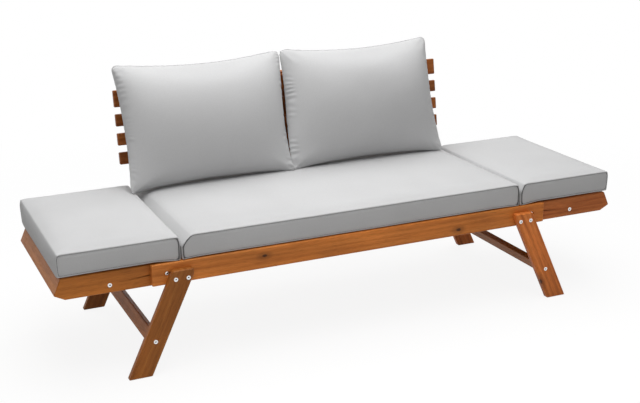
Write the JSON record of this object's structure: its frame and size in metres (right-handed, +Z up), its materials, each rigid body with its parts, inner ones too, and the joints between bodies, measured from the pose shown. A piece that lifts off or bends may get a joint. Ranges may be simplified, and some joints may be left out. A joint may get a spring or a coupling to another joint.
{
  "type": "garden sofa with hinged side wings",
  "caption": "Low slatted wooden sofa on splayed legs with grey cushions; its side wings lie flat as a daybed or hinge up as arm rests.",
  "frame": {"origin": "on the ground under the middle of the sofa's bounding box", "axes": "+Z up, +X along the length to the right as seen from the front, the sitter faces -Y"},
  "size_m": [1.8984, 0.6774, 0.8083],
  "materials": {
    "wood": "oiled hardwood",
    "fabric": "plain woven cover over foam",
    "steel": "zinc plated",
    "nylon": "natural nylon"
  },
  "bodies": {
    "frame": {"back_cushion_left": "fabric", "back_cushion_right": "fabric", "back_post_centre": "wood", "back_post_left": "wood", "back_post_right": "wood", "back_slat_low": "wood", "back_slat_lower_mid": "wood", "back_slat_top": "wood", "back_slat_upper_mid": "wood", "front_rail": "wood", "insert_nuts": "steel", "leg_bolts": "steel", "leg_front_left": "wood", "leg_front_right": "wood", "leg_rear_left": "wood", "leg_rear_right": "wood", "leg_stretcher_left": "wood", "leg_stretcher_right": "wood", "pivot_washers": "nylon", "post_bolts": "steel", "ratchet_arm_front_left": "steel", "ratchet_arm_front_right": "steel", "ratchet_arm_rear_left": "steel", "ratchet_arm_rear_right": "steel", "ratchet_nuts": "steel", "ratchet_pawls": "steel", "rear_rail": "wood", "seat_cushion": "fabric", "seat_ledger_front": "wood", "seat_ledger_rear": "wood", "seat_slat_01": "wood", "seat_slat_02": "wood", "seat_slat_03": "wood", "seat_slat_04": "wood", "seat_slat_05": "wood", "seat_slat_06": "wood", "seat_slat_07": "wood", "seat_slat_08": "wood", "seat_slat_09": "wood", "seat_slat_10": "wood"},
    "left_wing": {"left_wing_bolts": "steel", "left_wing_cross_rail": "wood", "left_wing_end_board": "wood", "left_wing_nuts": "steel", "left_wing_rail_front": "wood", "left_wing_rail_rear": "wood", "left_wing_ratchet_front": "steel", "left_wing_ratchet_rear": "steel", "left_wing_slats": "wood"},
    "right_wing": {"right_wing_bolts": "steel", "right_wing_cross_rail": "wood", "right_wing_end_board": "wood", "right_wing_nuts": "steel", "right_wing_rail_front": "wood", "right_wing_rail_rear": "wood", "right_wing_ratchet_front": "steel", "right_wing_ratchet_rear": "steel", "right_wing_slats": "wood"},
    "left_wing_cushion": {"left_wing_cushion": "fabric"},
    "right_wing_cushion": {"right_wing_cushion": "fabric"}
  },
  "joints": [
    {"name": "left_wing_hinge", "type": "hinge", "parent": "frame", "child": "left_wing", "pos_m": [-0.6235, -0.0425, 0.303], "axis": [0, 1, 0], "range_deg": [0, 45]},
    {"name": "left_cushion_slip", "type": "slide", "parent": "left_wing", "child": "left_wing_cushion", "axis": [-1, 0, 0], "range_m": [0, 0.1257]},
    {"name": "right_wing_hinge", "type": "hinge", "parent": "frame", "child": "right_wing", "pos_m": [0.6235, -0.0425, 0.303], "axis": [0, -1, 0], "range_deg": [0, 45]},
    {"name": "right_cushion_slip", "type": "slide", "parent": "right_wing", "child": "right_wing_cushion", "axis": [1, 0, 0], "range_m": [0, 0.1257]}
  ],
  "couplings": [
    {"joint": "left_cushion_slip", "follows": "left_wing_hinge", "m_per_rad": 0.16},
    {"joint": "right_cushion_slip", "follows": "right_wing_hinge", "m_per_rad": 0.16}
  ]
}
